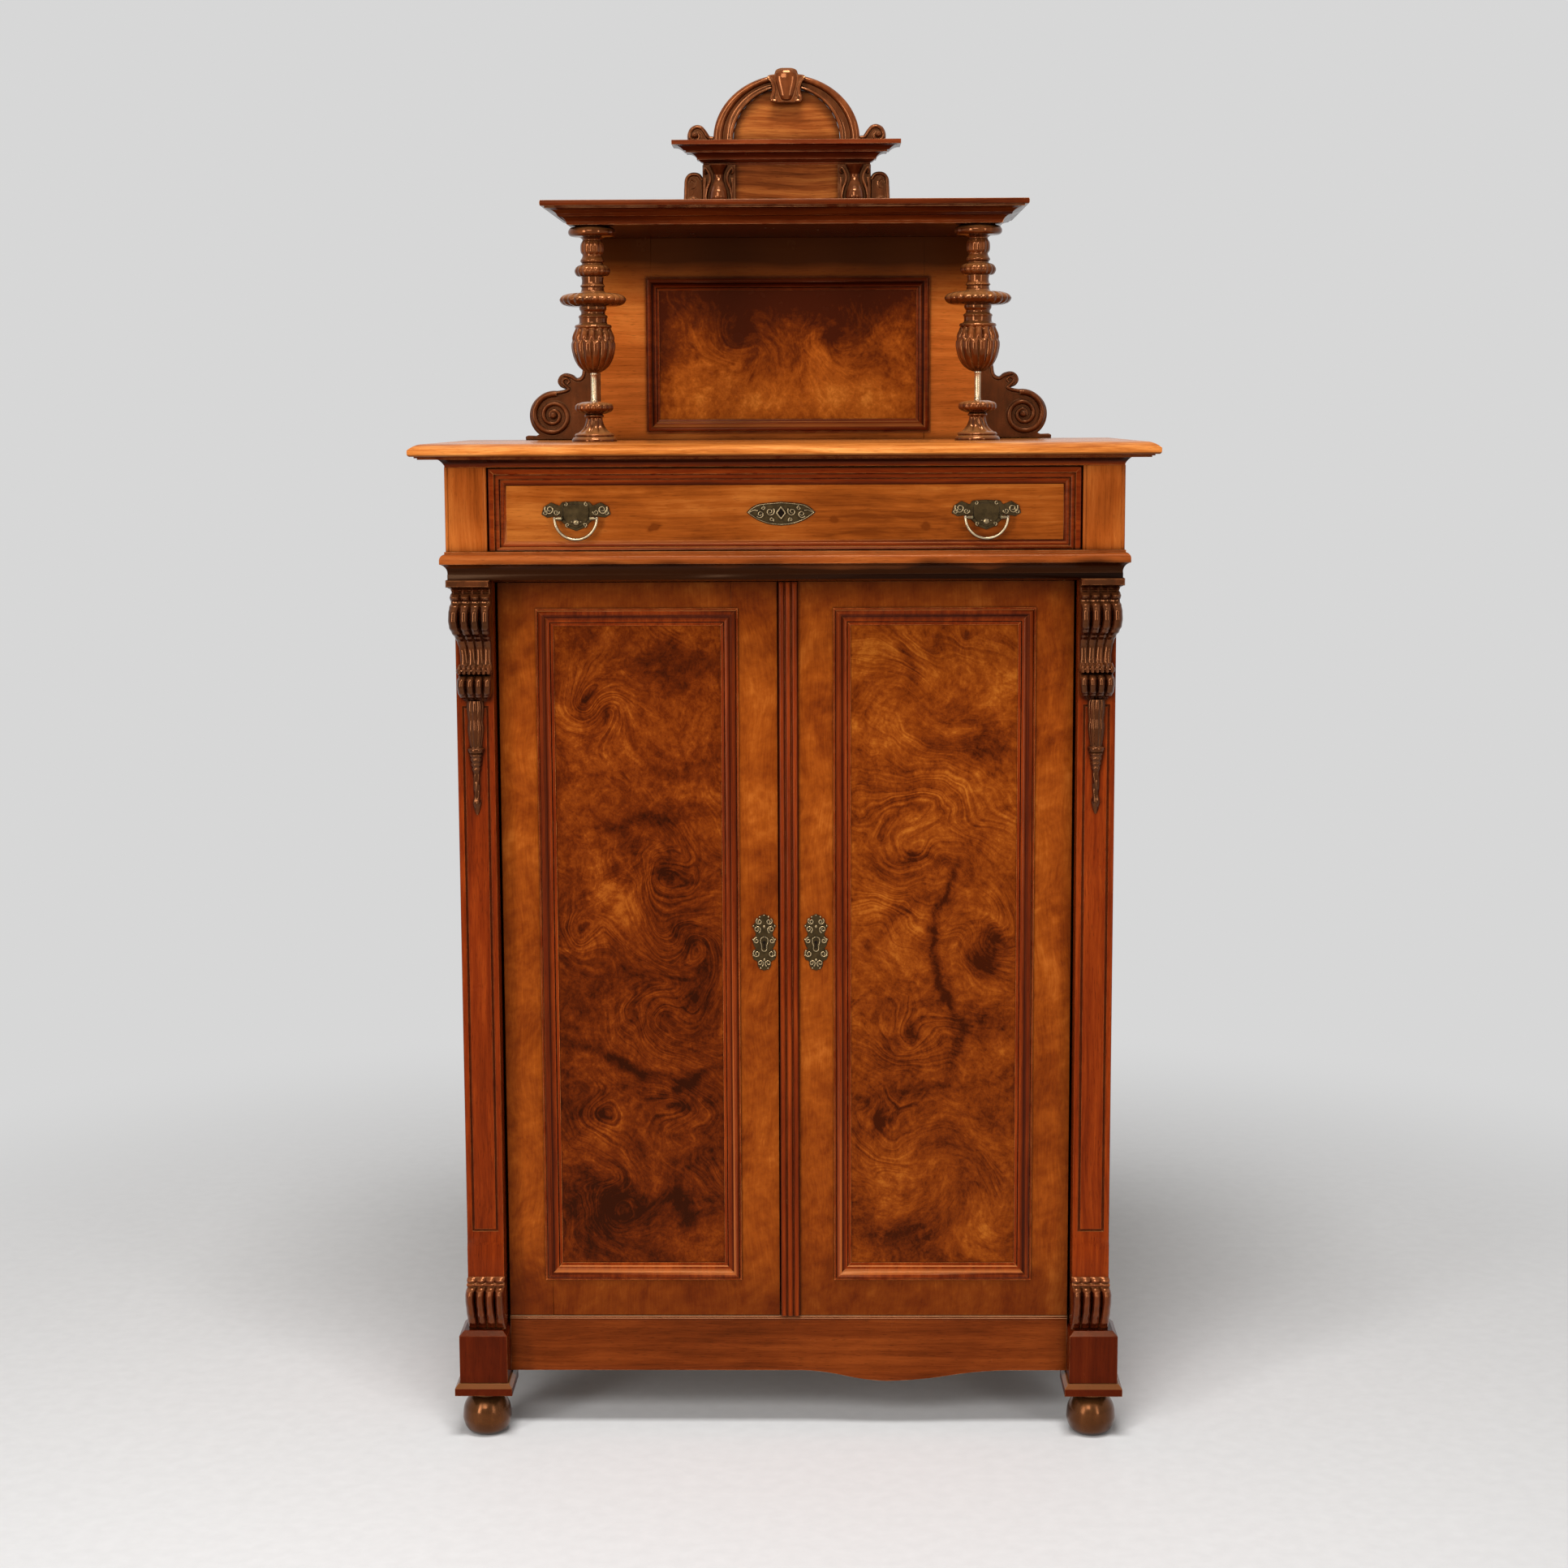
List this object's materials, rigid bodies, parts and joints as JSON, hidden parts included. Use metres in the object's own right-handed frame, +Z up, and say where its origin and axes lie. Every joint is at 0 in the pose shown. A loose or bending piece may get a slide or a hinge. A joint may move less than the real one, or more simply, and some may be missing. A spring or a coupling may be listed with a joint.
{
  "type": "cabinet",
  "caption": "Tall polished walnut show cabinet: burr-panelled doors between pilasters, a drawer stage above, and a gallery on turned columns under an arched crest.",
  "frame": {"origin": "on the floor under the middle of the cabinet's bounding box", "axes": "+X to the viewer's right, -Y towards the viewer where the doors face, +Z up"},
  "size_m": [1.05, 0.54, 2.032],
  "materials": {
    "door_frame_walnut": "French-polished straight-grained walnut veneer",
    "burr_walnut": "French-polished burr walnut veneer",
    "red_walnut_moulding": "polished reddish walnut",
    "carved_walnut": "polished dark carved walnut",
    "case_walnut": "polished walnut",
    "pale_softwood": "unpolished softwood",
    "aged_brass": "aged, rubbed bright on the edges",
    "lock_steel": "dull worked steel"
  },
  "bodies": {
    "carcass": {"apron": "case_walnut", "back_boards": "pale_softwood", "ball_feet": "carved_walnut", "bed_moulding": "red_walnut_moulding", "bottom_board": "pale_softwood", "column_left": "carved_walnut", "column_right": "carved_walnut", "column_rods": "aged_brass", "console_left": "carved_walnut", "console_right": "carved_walnut", "crest_arch": "red_walnut_moulding", "crest_board": "case_walnut", "crest_brackets": "carved_walnut", "crest_cornice": "red_walnut_moulding", "crest_scrolls": "carved_walnut", "dust_board": "pale_softwood", "foot_plates": "case_walnut", "gallery_backboard": "case_walnut", "gallery_cornice": "red_walnut_moulding", "gallery_moulding": "red_walnut_moulding", "gallery_panel": "case_walnut", "gallery_shelf": "case_walnut", "gallery_wings": "carved_walnut", "hinge_plates": "aged_brass", "lunette_panel": "case_walnut", "pendants": "carved_walnut", "pilaster_bases": "carved_walnut", "pilasters": "red_walnut_moulding", "plinth_blocks": "case_walnut", "runners_and_cleats": "pale_softwood", "shelves": "pale_softwood", "side_frames": "case_walnut", "side_panels": "case_walnut", "stage_posts": "case_walnut", "stage_sides": "case_walnut", "stage_top_rail": "case_walnut", "top_slab": "case_walnut", "waist_moulding": "red_walnut_moulding", "waist_rails": "case_walnut"},
    "door_left": {"door_left_frame": "door_frame_walnut", "door_left_moulding": "red_walnut_moulding", "door_left_panel": "burr_walnut", "door_left_fittings": "aged_brass"},
    "door_right": {"door_right_frame": "door_frame_walnut", "door_right_moulding": "red_walnut_moulding", "door_right_panel": "burr_walnut", "door_right_fittings": "aged_brass", "door_right_strip": "red_walnut_moulding"},
    "drawer": {"drawer_front": "case_walnut", "drawer_moulding": "red_walnut_moulding", "drawer_box": "pale_softwood", "drawer_bottom": "pale_softwood", "drawer_lock": "lock_steel", "drawer_plates": "aged_brass"},
    "door_lock_bolt": {"door_lock_bolt": "lock_steel"},
    "door_bolt_top": {"door_bolt_top": "lock_steel"},
    "door_bolt_bottom": {"door_bolt_bottom": "lock_steel"},
    "drawer_lock_bolt": {"drawer_lock_bolt": "lock_steel"},
    "bail_left": {"bail_left": "aged_brass"},
    "bail_right": {"bail_right": "aged_brass"}
  },
  "joints": [
    {"name": "door_left_hinge", "type": "hinge", "parent": "carcass", "child": "door_left", "pos_m": [-0.403, -0.144, 0.723], "axis": [0, 0, -1], "range_deg": [0, 90]},
    {"name": "door_right_hinge", "type": "hinge", "parent": "carcass", "child": "door_right", "pos_m": [0.403, -0.144, 0.723], "axis": [0, 0, 1], "range_deg": [0, 90]},
    {"name": "drawer_slide", "type": "slide", "parent": "carcass", "child": "drawer", "axis": [0, -1, 0], "range_m": [0, 0.3]},
    {"name": "door_bolt_top_slide", "type": "slide", "parent": "door_left", "child": "door_bolt_top", "axis": [0, 0, 1], "range_m": [0, 0.012]},
    {"name": "door_bolt_bottom_slide", "type": "slide", "parent": "door_left", "child": "door_bolt_bottom", "axis": [0, 0, -1], "range_m": [0, 0.012]},
    {"name": "door_lock_bolt_slide", "type": "slide", "parent": "door_right", "child": "door_lock_bolt", "axis": [-1, 0, 0], "range_m": [0, 0.01]},
    {"name": "drawer_lock_bolt_slide", "type": "slide", "parent": "drawer", "child": "drawer_lock_bolt", "axis": [0, 0, 1], "range_m": [0, 0.012]},
    {"name": "bail_left_hinge", "type": "hinge", "parent": "drawer", "child": "bail_left", "pos_m": [-0.296, -0.211, 1.3645], "axis": [-1, 0, 0], "range_deg": [0, 100]},
    {"name": "bail_right_hinge", "type": "hinge", "parent": "drawer", "child": "bail_right", "pos_m": [0.286, -0.211, 1.3645], "axis": [-1, 0, 0], "range_deg": [0, 100]}
  ]
}
